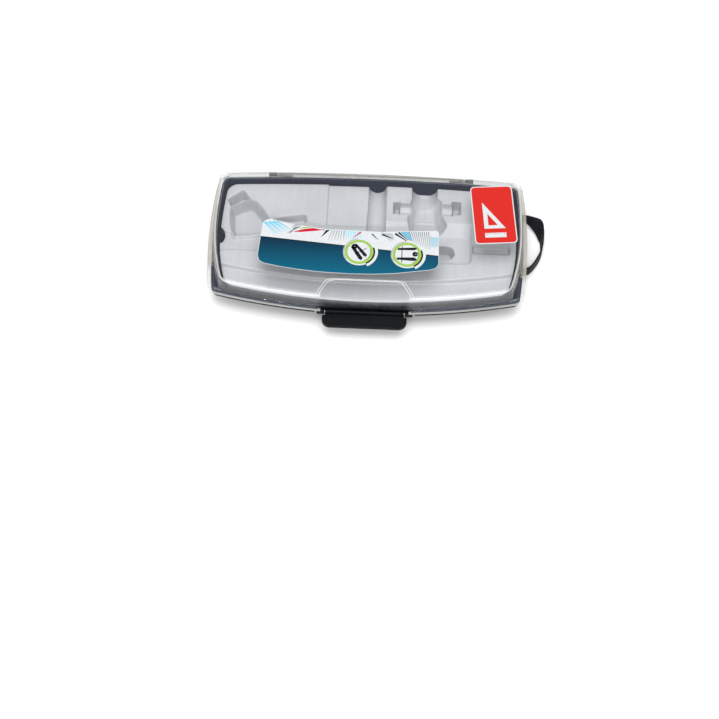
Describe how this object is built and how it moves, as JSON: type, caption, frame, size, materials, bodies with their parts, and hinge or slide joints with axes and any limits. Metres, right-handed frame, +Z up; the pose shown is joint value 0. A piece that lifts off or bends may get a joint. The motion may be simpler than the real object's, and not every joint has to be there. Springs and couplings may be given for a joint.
{
  "type": "drafting instrument case",
  "caption": "Flat bow-sided drafting instrument case: dark base, clear hinged lid, grey formed tray with recesses, folding front latch and hanging side strap",
  "frame": {"origin": "middle of the flat underside of the base, on the plane the case lies on", "axes": "+Z up through the lid, +Y towards the hinge (back), -Y towards the latch (front), +X along the length towards the strap"},
  "size_m": [0.1926, 0.1045, 0.0266],
  "materials": {
    "base_shell": "moulded, satin",
    "lid_shell": "clear, polished",
    "instrument_tray": "vacuum-formed, satin",
    "hinge_pin_left": "drawn wire",
    "hinge_pin_right": "drawn wire",
    "latch_pin": "drawn wire",
    "front_latch": "moulded, satin",
    "hang_strap": "woven band",
    "front_label": "printed, coated",
    "corner_sticker": "printed, coated"
  },
  "bodies": {
    "base": {"base_shell": "base_shell", "instrument_tray": "instrument_tray", "hinge_pin_left": "hinge_pin_left", "hinge_pin_right": "hinge_pin_right", "latch_pin": "latch_pin", "hang_strap": "hang_strap"},
    "lid": {"lid_shell": "lid_shell", "front_label": "front_label", "corner_sticker": "corner_sticker"},
    "latch": {"front_latch": "front_latch"}
  },
  "joints": [
    {"name": "lid_hinge", "type": "hinge", "parent": "base", "child": "lid", "pos_m": [0, 0.0436, 0.0106], "axis": [-1, 0, 0], "range_deg": [0, 120]},
    {"name": "latch_hinge", "type": "hinge", "parent": "base", "child": "latch", "pos_m": [0, -0.0486, 0.0106], "axis": [-1, 0, 0], "range_deg": [0, 88]}
  ]
}
